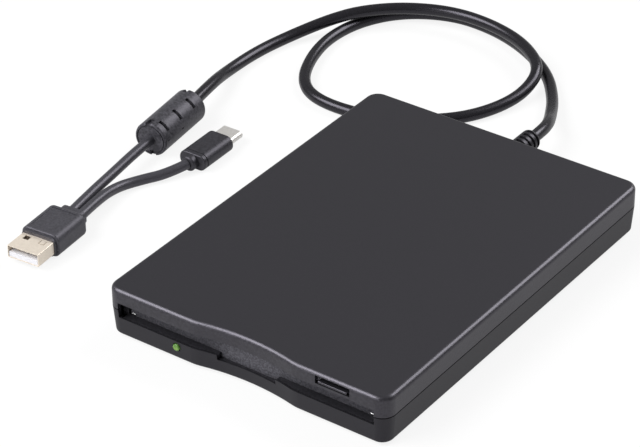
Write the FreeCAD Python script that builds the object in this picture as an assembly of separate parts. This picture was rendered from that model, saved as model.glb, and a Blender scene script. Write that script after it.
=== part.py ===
"""External floppy disk drive with its tethered lead, sub-part by sub-part.

Millimetres. +X right, +Y to the back, +Z up. The origin is at floor level under the
middle of the case. The disk slot is in the front face, at -Y.
"""
import FreeCAD, Part
import math
import os

V = FreeCAD.Vector

# Case
CASE_WIDTH = 103.0
CASE_DEPTH = 142.0
CASE_HEIGHT = 17.5
FOOT_HEIGHT = 0.8
CORNER_RADIUS = 4.6
WALL = 1.5
ROOF = 1.4
FLOOR = 1.3
TOP_EDGE_RADIUS = 1.6
BOTTOM_EDGE_RADIUS = 1.1
BOTTOM_TAPER = 0.74
SEAM_Z = 10.3
SEAM_GAP = 0.35
LIP_START = 0.8
LIP_HEIGHT = 0.6

# Shallow thumb wave in the front face
WAVE_DEPTH = 2.1
WAVE_RADIUS = 80.0
WAVE_FLANK_RADIUS = 15.0

# Disk slot, its sill and the thumb notch
SLOT_HALF_WIDTH = 47.0
SLOT_SILL_Z = 7.4
SLOT_TOP_Z = 12.8
NOTCH_HALF_WIDTH = 10.8
NOTCH_Z = 5.65
SILL_WALL = 0.7
SILL_GAP = 0.35
REBATE_Z = 5.0

# Dust door behind the slot
DOOR_HALF_WIDTH = 45.0
DOOR_FACE_Y = -67.0
DOOR_THICKNESS = 0.9
DOOR_BOTTOM_Z = 5.2
DOOR_AXIS_Y = -66.5
DOOR_AXIS_Z = 13.2
DOOR_PIN_RADIUS = 0.55
DOOR_CORNER_CUT = 1.5
DOOR_SPRING_X = (-41.0, -38.0)
PIVOT_CLEARANCE = 0.05

# Eject button
BUTTON_HOLE_X = (26.4, 38.6)
BUTTON_HOLE_Z = (13.75, 16.5)
BUTTON_X = (27.4, 37.5)
BUTTON_Z = (14.0, 14.75)
BUTTON_FACE_Y = -71.0
BUTTON_TRAVEL = 3.5

# Activity light
LED_X = -25.0
LED_Z = 5.25
LED_RADIUS = 1.2
LED_HOLE_RADIUS = 1.45
LED_TAIL_Y = -64.5

# Mechanism tray and lid
TRAY_HALF_WIDTH = 48.6
TRAY_SHEET = 0.6
TRAY_BOTTOM_Z = 2.7
TRAY_TOP_Z = 14.6
TRAY_FRONT_Y = -56.0
TRAY_BACK_Y = 61.0
LID_SHEET = 0.5

# Disk cradle, shown raised as it is with no disk in it
CRADLE_HALF_WIDTH = 46.7
CRADLE_SHEET = 0.5
CRADLE_FRONT_Y = -56.5
CRADLE_BACK_Y = 31.0
CRADLE_LIP_Z = 6.7
CRADLE_ROOF_Z = 12.0
CRADLE_LIP_WIDTH = 5.5
CRADLE_DROP = 2.2
CRADLE_PIN_RADIUS = 0.6
CRADLE_PIN_Y = (-40.0, 14.0)
CRADLE_PIN_Z = 11.2

# Spindle
SPINDLE_Y = -17.0
SHAFT_RADIUS = 1.0
ROTOR_RADIUS = 15.0

# Head carriage, shown at the outermost track
TRACK_ZERO_RADIUS = 39.5
HEAD_TRAVEL = 14.8
HEAD_Y = SPINDLE_Y + TRACK_ZERO_RADIUS
ARM_LENGTH = 25.0
BLOCK_LENGTH = 8.0
ROD_X = -11.0
ROD_Z = 5.6
ROD_RADIUS = 1.2
SCREW_X = 15.0
SCREW_Z = 7.6
SCREW_RADIUS = 1.0
STEPPER_RADIUS = 4.7
STEPPER_FRONT_Y = 57.6
STEPPER_BACK_Y = 67.0
ARM_PIVOT_Z = 13.2

# Boot where the lead leaves the case
RELIEF_X = 1.0
RELIEF_Z = 8.4
RELIEF_LENGTH = 16.0
RELIEF_RADIUS = 3.6
RELIEF_HOLE_RADIUS = 2.6
RELIEF_ROOM = 4.2
RELIEF_TIP_FILLET = 1.2
RELIEF_GROOVES = 6
RELIEF_GROOVE_PITCH = 2.27
RELIEF_GROOVE_WIDTH = 1.1
RELIEF_GROOVE_DEPTH = 0.6
RELIEF_SPINE = (15.0, 57.5, 100.0)

# Leads
CORD_DIAMETER = 4.2
LEAD_DIAMETER = 3.5
ARC_SHARE = 0.45

# Clip-on ferrite: angles are counted from straight up, positive toward +X
FERRITE_RADIUS = 6.1
FERRITE_WALL = 1.2
FERRITE_END_WALL = 1.4
FERRITE_SEAM_ANGLE = -8.0
FERRITE_SLOT_ANGLE = 37.0
FERRITE_SLOT_SHARES = (0.13, 0.457, 0.779)
FERRITE_SLOT_LENGTH = 1.5
FERRITE_SLOT_WIDTH = 4.2
FERRITE_TICK_ANGLE = 86.0
FERRITE_TICK_SHARES = (0.06, 0.40)
FERRITE_END = V(-104.9, 17.0, 6.1)
FERRITE_FAR_END = V(-107.9, 42.6, 6.1)

# Tails of the two plugs
PLUG_A_TAIL = V(-98.4, -30.5, 4.12)
PLUG_A_TILT = 4.6
PLUG_C_TAIL = V(-88.3, 15.6, 3.0)

MAIN_ROUTE = [
    (1, 86.6, 8.4), (1, 93, 8.3), (-0.8, 100, 7), (-5, 108.5, 4.3), (-12, 121.5, 2.2),
    (-22.5, 135, 2.1), (-38, 145.5, 2.1), (-55, 151.5, 2.1), (-73, 152, 2.1), (-89, 143.5, 2.1),
    (-98, 129.5, 2.1), (-100.5, 113.5, 2.1), (-97.5, 98, 2.1), (-90.5, 83, 2.1), (-80, 75.5, 2.1),
    (-63, 75, 2.1), (-46, 81, 2.1), (-32, 92, 2.1), (-24.5, 105.5, 2.3), (-21.5, 119, 3.4),
    (-23.3, 131.2, 6.5), (-37, 142, 6.6), (-53, 147, 6.6), (-70, 147.2, 6.6), (-86, 140.2, 6.6),
    (-97, 128.4, 7.1), (-103.8, 119, 5.8), (-111.4, 107.8, 2.7), (-115.5, 91, 2.1), (-115.5, 73, 2.4),
    (-110.8, 57.5, 6.1), (-107.85, 42.2, 6.1)]
PLUG_ROUTE = [
    (-104.9, 17.4, 6.1), (-104.7, 8.5, 5.5), (-103.9, -4, 4.2), (-102.1, -18, 4.1), (-99.8, -30.9, 4.12)]
BRANCH_ROUTE = [
    (-96.1, -30.6, 4.12), (-97.9, -20, 4), (-99.3, -8.5, 2.6), (-96.1, 1.2, 1.75), (-91, 8, 2.3),
    (-88.6, 15.8, 3.0)]


def box(x0, y0, z0, x1, y1, z1):
    return Part.makeBox(x1 - x0, y1 - y0, z1 - z0, V(x0, y0, z0))


def rod(radius, length, start, direction):
    return Part.makeCylinder(radius, length, V(*start), V(*direction))


def tube(outer, inner, length, start, direction):
    longer = 1.0
    hole_start = V(*start) - V(*direction) * longer
    hole = Part.makeCylinder(inner, length + 2 * longer, hole_start, V(*direction))
    return rod(outer, length, start, direction).cut(hole)


def mirrored_pair(solid):
    return [solid, solid.mirror(V(0, 0, 0), V(1, 0, 0))]


def joined(solids):
    whole = solids[0]
    for solid in solids[1:]:
        whole = whole.fuse(solid)
    return whole.removeSplitter()


def prism(points, thickness, direction):
    wire = Part.makePolygon([V(*p) for p in points] + [V(*points[0])])
    return Part.Face(wire).extrude(V(*direction) * thickness)


def rounded_bar(width, height, radius, length, start):
    """A bar along +Y with rounded long edges; start is the middle of its near end."""
    bar = box(-width / 2, 0, -height / 2, width / 2, length, height / 2)
    long_edges = [e for e in bar.Edges if abs(e.tangentAt(e.FirstParameter).y) > 0.99]
    bar = bar.makeFillet(radius, long_edges)
    bar.translate(V(*start))
    return bar


def outline(inset, z):
    """Plan outline of the case, with the front wave, drawn inward by inset."""
    half_width = CASE_WIDTH / 2 - inset
    half_depth = CASE_DEPTH / 2 - inset
    corner = max(CORNER_RADIUS - inset, 0.5)
    wave_radius = WAVE_RADIUS + inset
    flank_radius = WAVE_FLANK_RADIUS - inset
    wave_centre_y = -CASE_DEPTH / 2 + WAVE_DEPTH - WAVE_RADIUS
    flank_centre_y = -CASE_DEPTH / 2 + WAVE_FLANK_RADIUS
    centre_distance = WAVE_RADIUS + WAVE_FLANK_RADIUS
    flank_x = math.sqrt(centre_distance ** 2 - (flank_centre_y - wave_centre_y) ** 2)
    meet_x = flank_x * WAVE_RADIUS / centre_distance
    slope = math.asin(meet_x / WAVE_RADIUS)
    meet = (wave_radius * math.sin(slope), wave_centre_y + wave_radius * math.cos(slope))
    middle_of_flank = (flank_x - flank_radius * math.sin(slope / 2),
                       flank_centre_y - flank_radius * math.cos(slope / 2))
    diagonal = corner * math.sqrt(0.5)
    cx = half_width - corner
    cy = half_depth - corner

    def at(x, y):
        return V(x, y, z)

    edges = []

    def line(a, b):
        edges.append(Part.LineSegment(at(*a), at(*b)).toShape())

    def arc(a, m, b):
        edges.append(Part.Arc(at(*a), at(*m), at(*b)).toShape())

    line((-cx, -half_depth), (-flank_x, -half_depth))
    arc((-flank_x, -half_depth), (-middle_of_flank[0], middle_of_flank[1]), (-meet[0], meet[1]))
    arc((-meet[0], meet[1]), (0, wave_centre_y + wave_radius), meet)
    arc(meet, middle_of_flank, (flank_x, -half_depth))
    line((flank_x, -half_depth), (cx, -half_depth))
    arc((cx, -half_depth), (cx + diagonal, -cy - diagonal), (half_width, -cy))
    line((half_width, -cy), (half_width, cy))
    arc((half_width, cy), (cx + diagonal, cy + diagonal), (cx, half_depth))
    line((cx, half_depth), (-cx, half_depth))
    arc((-cx, half_depth), (-cx - diagonal, cy + diagonal), (-half_width, cy))
    line((-half_width, cy), (-half_width, -cy))
    arc((-half_width, -cy), (-cx - diagonal, -cy - diagonal), (-cx, -half_depth))
    return Part.Wire(edges)


def slab(inset, z0, z1):
    return Part.Face(outline(inset, z0)).extrude(V(0, 0, z1 - z0))


def tapered_slab(low_inset, high_inset, z0, z1):
    return Part.makeLoft([outline(low_inset, z0), outline(high_inset, z1)], True, True)


def edges_at(solid, z):
    return [e for e in solid.Edges if abs(e.BoundBox.ZMin - z) < 0.01 and abs(e.BoundBox.ZMax - z) < 0.01]


SHELL_BOTTOM = FOOT_HEIGHT
FLOOR_TOP = SHELL_BOTTOM + FLOOR
ROOF_BOTTOM = CASE_HEIGHT - ROOF
RIM_Z = SEAM_Z - SEAM_GAP / 2
SKIRT_Z = SEAM_Z + SEAM_GAP / 2
LIP_TOP = SKIRT_Z + LIP_HEIGHT
CASE_BACK_Y = CASE_DEPTH / 2
CASE_FRONT_Y = -CASE_DEPTH / 2
TRAY_FLOOR_Z = TRAY_BOTTOM_Z + TRAY_SHEET
BOSS_X = 44.5
BOSS_Y = 65.0
SCREW_HEAD_RADIUS = 1.9
SCREW_SHANK_RADIUS = 0.9
FOOT_SPOTS = [(sx * 40.0, sy * 57.0) for sx in (-1, 1) for sy in (-1, 1)]
CASE_SCREW_SPOTS = [(-BOSS_X, BOSS_Y), (BOSS_X, BOSS_Y)]
TRAY_SCREW_SPOTS = [(-44.0, -46.0), (44.0, -46.0), (-44.0, 52.0), (44.0, 52.0)]


def slot_cut():
    return box(-SLOT_HALF_WIDTH, CASE_FRONT_Y - 1, SLOT_SILL_Z, SLOT_HALF_WIDTH, CASE_FRONT_Y + 6, SLOT_TOP_Z)


def relief_hole():
    return rod(RELIEF_HOLE_RADIUS, 6, (RELIEF_X, CASE_BACK_Y - 4, RELIEF_Z), (0, 1, 0))


def top_cover():
    shell = slab(0, SKIRT_Z, CASE_HEIGHT)
    shell = shell.makeFillet(TOP_EDGE_RADIUS, edges_at(shell, CASE_HEIGHT))
    shell = shell.cut(slab(WALL, SKIRT_Z - 1, ROOF_BOTTOM))
    shell = shell.cut(slab(LIP_START, SKIRT_Z - 1, LIP_TOP))
    shell = shell.cut(slot_cut())
    shell = shell.cut(box(BUTTON_HOLE_X[0], CASE_FRONT_Y - 1, BUTTON_HOLE_Z[0],
                          BUTTON_HOLE_X[1], CASE_FRONT_Y + 5, BUTTON_HOLE_Z[1]))
    bosses = [rod(2.6, ROOF_BOTTOM - LIP_TOP, (x, y, LIP_TOP), (0, 0, 1)) for x, y in CASE_SCREW_SPOTS]
    shell = joined([shell] + bosses)
    for x, y in CASE_SCREW_SPOTS:
        shell = shell.cut(rod(SCREW_SHANK_RADIUS, 3.6, (x, y, LIP_TOP - 0.5), (0, 0, 1)))
    return shell.cut(relief_hole())


def bottom_cover():
    shell = tapered_slab(BOTTOM_TAPER, 0, SHELL_BOTTOM, RIM_Z)
    shell = shell.makeFillet(BOTTOM_EDGE_RADIUS, edges_at(shell, SHELL_BOTTOM))
    lip = slab(LIP_START, RIM_Z - 1, LIP_TOP)
    shell = shell.fuse(lip)
    shell = shell.cut(tapered_slab(WALL + BOTTOM_TAPER * 0.87, WALL, FLOOR_TOP, LIP_TOP + 0.01))
    shell = shell.cut(slot_cut())
    notch = box(-NOTCH_HALF_WIDTH, CASE_FRONT_Y - 1, NOTCH_Z, NOTCH_HALF_WIDTH, CASE_FRONT_Y + 6, SLOT_SILL_Z + 1)
    shell = shell.cut(notch)
    rebate = slab(SILL_WALL, REBATE_Z, SLOT_SILL_Z + 1)
    rebate = rebate.common(box(-SLOT_HALF_WIDTH + 0.6, CASE_FRONT_Y, REBATE_Z,
                               SLOT_HALF_WIDTH - 0.6, CASE_FRONT_Y + 6, SLOT_SILL_Z + 1))
    shell = shell.cut(rebate)
    shell = shell.cut(rod(LED_HOLE_RADIUS, 6, (LED_X, CASE_FRONT_Y - 1, LED_Z), (0, 1, 0)))
    pads = [rod(2.4, TRAY_BOTTOM_Z - FLOOR_TOP, (x, y, FLOOR_TOP), (0, 0, 1)) for x, y in TRAY_SCREW_SPOTS]
    posts = [rod(2.6, LIP_TOP - FLOOR_TOP, (x, y, FLOOR_TOP), (0, 0, 1)) for x, y in CASE_SCREW_SPOTS]
    shell = joined([shell] + pads + posts)
    for x, y in TRAY_SCREW_SPOTS:
        shell = shell.cut(rod(SCREW_SHANK_RADIUS, 1.6, (x, y, TRAY_BOTTOM_Z - 1.4), (0, 0, 1)))
    for x, y in CASE_SCREW_SPOTS:
        shell = shell.cut(rod(SCREW_SHANK_RADIUS, 14, (x, y, SHELL_BOTTOM - 1), (0, 0, 1)))
        shell = shell.cut(rod(SCREW_HEAD_RADIUS, 2.2, (x, y, SHELL_BOTTOM - 1), (0, 0, 1)))
    for x, y in FOOT_SPOTS:
        shell = shell.cut(rod(4.0, 0.4, (x, y, SHELL_BOTTOM), (0, 0, 1)))
    shell = shell.cut(box(RELIEF_X - RELIEF_ROOM, CASE_BACK_Y - 5, RELIEF_Z - RELIEF_ROOM,
                          RELIEF_X + RELIEF_ROOM, CASE_BACK_Y - WALL, LIP_TOP + 1))
    return shell.cut(relief_hole())


def case_screws():
    solids = []
    for x, y in CASE_SCREW_SPOTS:
        head = rod(SCREW_HEAD_RADIUS, 1.1, (x, y, SHELL_BOTTOM + 0.1), (0, 0, 1))
        shank = rod(SCREW_SHANK_RADIUS, LIP_TOP + 2.8 - SHELL_BOTTOM - 1.2, (x, y, SHELL_BOTTOM + 1.2), (0, 0, 1))
        solids.append(joined([cross_recess(head, x, y, SHELL_BOTTOM + 0.1), shank]))
    return solids


def cross_recess(head, x, y, z):
    depth = 0.5
    for length, width in ((1.0, 0.22), (0.22, 1.0)):
        head = head.cut(box(x - length, y - width, z - 0.1, x + length, y + width, z + depth))
    return head


def rubber_feet():
    feet = []
    for x, y in FOOT_SPOTS:
        foot = rod(4.0, FOOT_HEIGHT + 0.4, (x, y, 0), (0, 0, 1))
        feet.append(foot.makeFillet(0.35, edges_at(foot, 0)))
    return feet


def slot_guide():
    """Frame behind the slot: a shelf level with the sill, and a post at each end for the door's pins."""
    back_y = DOOR_FACE_Y - 0.15
    shelf = slab(SILL_WALL + SILL_GAP, REBATE_Z + 0.1, SLOT_SILL_Z - 0.1)
    shelf = shelf.common(box(-SLOT_HALF_WIDTH + 1, CASE_FRONT_Y, REBATE_Z, SLOT_HALF_WIDTH - 1, back_y, SLOT_SILL_Z))
    shelf = shelf.cut(box(-NOTCH_HALF_WIDTH, CASE_FRONT_Y, NOTCH_Z - 0.1, NOTCH_HALF_WIDTH, back_y + 1, SLOT_SILL_Z))
    shelf = shelf.cut(rod(LED_RADIUS + 0.3, 8, (LED_X, CASE_FRONT_Y, LED_Z), (0, 1, 0)))
    post = box(DOOR_HALF_WIDTH + 0.4, back_y - 0.6, FLOOR_TOP, SLOT_HALF_WIDTH + 0.6, DOOR_AXIS_Y + 1.4, 14.4)
    post = post.cut(rod(DOOR_PIN_RADIUS + PIVOT_CLEARANCE, 6, (DOOR_HALF_WIDTH, DOOR_AXIS_Y, DOOR_AXIS_Z), (1, 0, 0)))
    web = box(-SLOT_HALF_WIDTH - 0.6, back_y - 0.6, FLOOR_TOP, SLOT_HALF_WIDTH + 0.6, back_y, REBATE_Z + 0.2)
    web = web.common(slab(WALL + BOTTOM_TAPER + 0.1, FLOOR_TOP, SLOT_SILL_Z))
    web = web.cut(box(LED_X - 1.3, CASE_FRONT_Y, FLOOR_TOP, LED_X + 1.3, back_y + 1, SLOT_SILL_Z - 0.6))
    return joined([shelf, web] + mirrored_pair(post))


def dust_door():
    back_y = DOOR_FACE_Y + DOOR_THICKNESS
    plate = box(-DOOR_HALF_WIDTH, DOOR_FACE_Y, DOOR_BOTTOM_Z, DOOR_HALF_WIDTH, back_y, DOOR_AXIS_Z)
    barrel = rod(0.65, 2 * DOOR_HALF_WIDTH, (-DOOR_HALF_WIDTH, DOOR_AXIS_Y, DOOR_AXIS_Z), (1, 0, 0))
    spring_gap = box(DOOR_SPRING_X[0] - 0.3, DOOR_FACE_Y - 1, DOOR_AXIS_Z - 1.6,
                     DOOR_SPRING_X[1] + 0.3, back_y + 1, DOOR_AXIS_Z + 2)
    pin = rod(DOOR_PIN_RADIUS, 2 * DOOR_HALF_WIDTH + 3.4,
              (-DOOR_HALF_WIDTH - 1.7, DOOR_AXIS_Y, DOOR_AXIS_Z), (1, 0, 0))
    corner = box(DOOR_HALF_WIDTH - DOOR_CORNER_CUT, DOOR_FACE_Y - 1, DOOR_BOTTOM_Z - 1,
                 DOOR_HALF_WIDTH + 1, back_y + 1, SLOT_SILL_Z)
    leaf = joined([plate, barrel]).cut(spring_gap).cut(joined(mirrored_pair(corner)))
    for rivet in door_rivets():
        leaf = leaf.cut(rivet)
    return joined([leaf, pin])


def door_rivets():
    """Bright steel pins let into the door's lower corners."""
    return mirrored_pair(rod(0.35, 1.3, (DOOR_HALF_WIDTH - 1.6, DOOR_FACE_Y + 0.1, SLOT_SILL_Z + 0.3), (1, 0, 0)))


def door_spring():
    """Closing spring of the dust door, coiled round its pivot in a gap near the left end."""
    length = DOOR_SPRING_X[1] - DOOR_SPRING_X[0]
    coil = tube(1.15, 0.8, length, (DOOR_SPRING_X[0], DOOR_AXIS_Y, DOOR_AXIS_Z), (1, 0, 0))
    leg = rod(0.17, 2.2, (DOOR_SPRING_X[1] - 0.2, DOOR_AXIS_Y + 0.95, DOOR_AXIS_Z), (0, 0, 1))
    return joined([coil, leg])


def eject_slide():
    """Steel slide: a cross bar over the throat and two side rails with ramp slots for the cradle's pins."""
    rail_x = (CRADLE_HALF_WIDTH + 0.4, CRADLE_HALF_WIDTH + 0.9)
    front_y = -54.0
    back_y = 24.0
    rail = box(rail_x[0], front_y, 7.0, rail_x[1], back_y, 13.9)
    for y in CRADLE_PIN_Y:
        rail = rail.cut(ramp_slot(y, rail_x))
    rail = rail.fuse(box(rail_x[0], back_y - 1, 11.8, rail_x[1], 31.4, 12.6))
    flange = box(rail_x[0] - 3.2, front_y, 13.4, rail_x[1], back_y, 13.9)
    bar = box(-rail_x[1], front_y, 13.4, rail_x[1], front_y + 7.0, 13.9)
    window = box(-20, front_y + 2.0, 13, 20, front_y + 5.2, 14.2)
    stem = box(BUTTON_X[0] + 2.0, DOOR_AXIS_Y + 2.0, 13.95, BUTTON_X[1] - 2.0, front_y + 4.0, 14.45)
    step = box(BUTTON_X[0] + 2.0, front_y + 0.5, 13.6, BUTTON_X[1] - 2.0, front_y + 4.0, 14.2)
    return joined([bar.cut(window), stem, step] + mirrored_pair(rail) + mirrored_pair(flange))


def ramp_slot(y, rail_x):
    """Slanted window: the pin drops as the slide goes forward by the button's travel."""
    reach = CRADLE_PIN_RADIUS + 0.35
    z_high = CRADLE_PIN_Z
    z_low = CRADLE_PIN_Z - CRADLE_DROP
    points = [(rail_x[0] - 1, y - reach, z_high + reach), (rail_x[0] - 1, y + reach, z_high + reach),
              (rail_x[0] - 1, y + BUTTON_TRAVEL + reach, z_low + reach),
              (rail_x[0] - 1, y + BUTTON_TRAVEL + reach, z_low - reach),
              (rail_x[0] - 1, y + BUTTON_TRAVEL - reach, z_low - reach),
              (rail_x[0] - 1, y - reach, z_high - reach)]
    return prism(points, 3, (1, 0, 0))


def eject_button():
    lip = box(BUTTON_X[0], BUTTON_FACE_Y + 0.05, BUTTON_Z[0], BUTTON_X[1], DOOR_AXIS_Y + 2.0, BUTTON_Z[1])
    front_edges = [e for e in lip.Edges if e.BoundBox.YMax < BUTTON_FACE_Y + 0.1]
    return lip.makeFillet(0.2, front_edges)


def led_lens():
    """Light pipe: its round front fills the hole, its tail passes under the dust door."""
    front_y = CASE_FRONT_Y - 0.15
    stalk = rod(LED_RADIUS, 3.4, (LED_X, front_y, LED_Z), (0, 1, 0))
    rim = [e for e in stalk.Edges if e.BoundBox.YMax < CASE_FRONT_Y]
    stalk = stalk.makeFillet(0.35, rim)
    drop = box(LED_X - 0.9, front_y + 2.6, 2.6, LED_X + 0.9, front_y + 3.4, LED_Z)
    tail = box(LED_X - 0.9, front_y + 2.6, 2.6, LED_X + 0.9, LED_TAIL_Y, 4.3)
    return joined([stalk, drop, tail])


def led():
    """Side-looking light on two wires, behind the tail of its lens."""
    body = box(LED_X - 1.5, LED_TAIL_Y, 2.4, LED_X + 1.5, LED_TAIL_Y + 1.6, 4.6)
    wires = [rod(0.25, 6.2, (LED_X + dx, LED_TAIL_Y + 1.6, 3.1), (0, 1, 0)) for dx in (-0.64, 0.64)]
    return joined([body] + wires)


def mechanism_tray():
    """Steel tray that carries the mechanism, with a step for each part that stands on it."""
    half = TRAY_HALF_WIDTH
    floor = box(-half, TRAY_FRONT_Y, TRAY_BOTTOM_Z, half, TRAY_BACK_Y, TRAY_FLOOR_Z)
    wall = box(half - TRAY_SHEET, TRAY_FRONT_Y, TRAY_BOTTOM_Z, half, TRAY_BACK_Y, TRAY_TOP_Z)
    back = box(-half, TRAY_BACK_Y - TRAY_SHEET, TRAY_BOTTOM_Z, -20, TRAY_BACK_Y, 9.0)
    tray = joined([floor, back] + mirrored_pair(wall))
    for x, y, length, width in ((0, 43, 22, 16), (-33, -34, 14, 20), (33, -34, 14, 20), (-30, 12, 16, 18), (32, 14, 14, 24)):
        tray = tray.cut(box(x - length / 2, y - width / 2, TRAY_BOTTOM_Z - 1,
                            x + length / 2, y + width / 2, TRAY_FLOOR_Z + 1))
    tray = tray.cut(box(SCREW_X - STEPPER_RADIUS - 0.6, STEPPER_FRONT_Y - 0.1, TRAY_BOTTOM_Z - 1,
                        SCREW_X + STEPPER_RADIUS + 0.6, TRAY_BACK_Y + 1, TRAY_FLOOR_Z + 6))
    tray = tray.cut(rod(3.0, 3, (0, SPINDLE_Y, TRAY_BOTTOM_Z - 1), (0, 0, 1)))
    for x, y in TRAY_SCREW_SPOTS:
        tray = tray.cut(rod(SCREW_SHANK_RADIUS, 2, (x, y, TRAY_BOTTOM_Z - 0.5), (0, 0, 1)))
    for side in (-1, 1):
        for y in CRADLE_PIN_Y:
            slot = box(half - 2, y - 0.95, CRADLE_PIN_Z - CRADLE_DROP - 0.95, half + 1, y + 0.95, CRADLE_PIN_Z + 0.95)
            tray = tray.cut(slot if side > 0 else slot.mirror(V(0, 0, 0), V(1, 0, 0)))
    return tray


def tray_screws():
    solids = []
    for x, y in TRAY_SCREW_SPOTS:
        head = rod(1.6, 0.8, (x, y, TRAY_FLOOR_Z), (0, 0, 1))
        head = head.cut(box(x - 1.0, y - 0.2, TRAY_FLOOR_Z + 0.4, x + 1.0, y + 0.2, TRAY_FLOOR_Z + 1))
        shank = rod(SCREW_SHANK_RADIUS, 1.9, (x, y, TRAY_FLOOR_Z - 1.9), (0, 0, 1))
        solids.append(joined([head, shank]))
    return solids


def mechanism_lid():
    half = TRAY_HALF_WIDTH
    sheet = box(-half, TRAY_FRONT_Y + 1, TRAY_TOP_Z, half, TRAY_BACK_Y, TRAY_TOP_Z + LID_SHEET)
    for x, y, length, width in ((-32, -30, 12, 4), (32, -30, 12, 4), (-32, 8, 12, 4), (32, 8, 12, 4)):
        sheet = sheet.cut(box(x - length / 2, y - width / 2, TRAY_TOP_Z - 1,
                              x + length / 2, y + width / 2, TRAY_TOP_Z + 1))
    tab = box(half - 8, TRAY_BACK_Y - 1.8, TRAY_TOP_Z - 3, half - 4, TRAY_BACK_Y - 1.2, TRAY_TOP_Z + 0.1)
    return joined([sheet] + mirrored_pair(tab))


def disk_cradle():
    half = CRADLE_HALF_WIDTH
    roof_top = CRADLE_ROOF_Z + CRADLE_SHEET
    roof = box(-half, CRADLE_FRONT_Y, CRADLE_ROOF_Z, half, CRADLE_BACK_Y, roof_top)
    head_window = box(-11, -10, CRADLE_ROOF_Z - 1, 11, CRADLE_BACK_Y + 1, roof_top + 1)
    hub_window = rod(13, 3, (0, SPINDLE_Y, CRADLE_ROOF_Z - 1), (0, 0, 1))
    roof = roof.cut(head_window).cut(hub_window)
    wall = box(half - CRADLE_SHEET, CRADLE_FRONT_Y, CRADLE_LIP_Z, half, CRADLE_BACK_Y, roof_top)
    lip = box(half - CRADLE_LIP_WIDTH, CRADLE_FRONT_Y, CRADLE_LIP_Z, half, CRADLE_BACK_Y, CRADLE_LIP_Z + CRADLE_SHEET)
    pins = [rod(CRADLE_PIN_RADIUS, 1.7, (half - 0.1, y, CRADLE_PIN_Z), (1, 0, 0)) for y in CRADLE_PIN_Y]
    side = joined([wall, lip] + pins)
    return joined([roof] + mirrored_pair(side))


def spindle_board():
    board = box(-20, -36, TRAY_FLOOR_Z, 20, 3, TRAY_FLOOR_Z + 0.5)
    return board.cut(rod(3.0, 3, (0, SPINDLE_Y, TRAY_FLOOR_Z - 1), (0, 0, 1)))


def spindle_coils():
    solids = []
    count = 9
    for i in range(count):
        angle = 360.0 / count * i
        coil = rounded_bar(4.4, 0.5, 0.2, 5.4, (0, 6.2, 0)).cut(box(-0.8, 7.6, -1, 0.8, 10.2, 1))
        coil.translate(V(0, 0, TRAY_FLOOR_Z + 0.75))
        coil.rotate(V(0, 0, 0), V(0, 0, 1), angle)
        coil.translate(V(0, SPINDLE_Y, 0))
        solids.append(coil)
    return solids


def spindle_bearing():
    return tube(3.0, SHAFT_RADIUS + PIVOT_CLEARANCE, 1.7, (0, SPINDLE_Y, TRAY_BOTTOM_Z - 0.1), (0, 0, 1))


def spindle_rotor():
    """Shaft, flat magnet carrier and hub platform, turning together."""
    z = TRAY_FLOOR_Z + 1.3
    shaft = rod(SHAFT_RADIUS, z + 2.4 - TRAY_BOTTOM_Z, (0, SPINDLE_Y, TRAY_BOTTOM_Z), (0, 0, 1))
    disc = rod(ROTOR_RADIUS, 0.35, (0, SPINDLE_Y, z), (0, 0, 1))
    platform = rod(10.5, 1.5, (0, SPINDLE_Y, z + 0.3), (0, 0, 1))
    platform = platform.cut(rod(9.0, 1.0, (0, SPINDLE_Y, z + 1.3), (0, 0, 1)))
    pin = rod(2.0, 0.7, (0, SPINDLE_Y, z + 1.3), (0, 0, 1))
    return joined([shaft, disc, platform, pin])


def hub_magnet():
    z = TRAY_FLOOR_Z + 1.3
    ring = tube(8.9, 3.0, 0.4, (0, SPINDLE_Y, z + 1.3), (0, 0, 1))
    return ring.cut(rod(1.1, 2, (6.2, SPINDLE_Y, z + 1), (0, 0, 1)))


def drive_pin():
    z = TRAY_FLOOR_Z + 1.3
    return rod(1.0, 1.1, (6.2, SPINDLE_Y, z + 1.3), (0, 0, 1))


def head_carriage():
    block_y = HEAD_Y + ARM_LENGTH
    arm = box(-5.5, HEAD_Y - 4, TRAY_FLOOR_Z + 0.6, 5.5, block_y + 1, TRAY_FLOOR_Z + 1.6)
    block = box(-14.5, block_y, TRAY_FLOOR_Z + 0.6, 6, block_y + BLOCK_LENGTH, 8.2)
    spine = box(-6, block_y + 1.0, 8.0, 6, block_y + BLOCK_LENGTH, 12.4)
    ears = [box(x, block_y + 1.0, 8.0, x + 1.2, block_y + 4.0, ARM_PIVOT_Z + 0.8) for x in (-7.2, 6.0)]
    nut_arm = box(5.9, block_y + 2, 4.6, SCREW_X + 3.0, block_y + 6, 9.6)
    carriage = joined([arm, block, spine, nut_arm] + ears)
    carriage = carriage.cut(box(-6.0, block_y, 11.4, 6.0, block_y + 4.2, ARM_PIVOT_Z + 2))
    carriage = carriage.cut(rod(ROD_RADIUS + PIVOT_CLEARANCE, 20, (ROD_X, block_y - 5, ROD_Z), (0, 1, 0)))
    carriage = carriage.cut(rod(SCREW_RADIUS + PIVOT_CLEARANCE, 20, (SCREW_X, block_y - 5, SCREW_Z), (0, 1, 0)))
    pin_hole = rod(0.5 + PIVOT_CLEARANCE, 18, (-9, block_y + 2.4, ARM_PIVOT_Z - 0.2), (1, 0, 0))
    return carriage.cut(pin_hole)


def lower_head():
    top = 6.5
    base = TRAY_FLOOR_Z + 1.6
    head = box(-2.6, HEAD_Y - 2.4, base, 2.6, HEAD_Y + 2.4, top - 0.5)
    slider = box(-1.6, HEAD_Y - 1.5, top - 0.5, 1.6, HEAD_Y + 1.5, top)
    return joined([head, slider])


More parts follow.
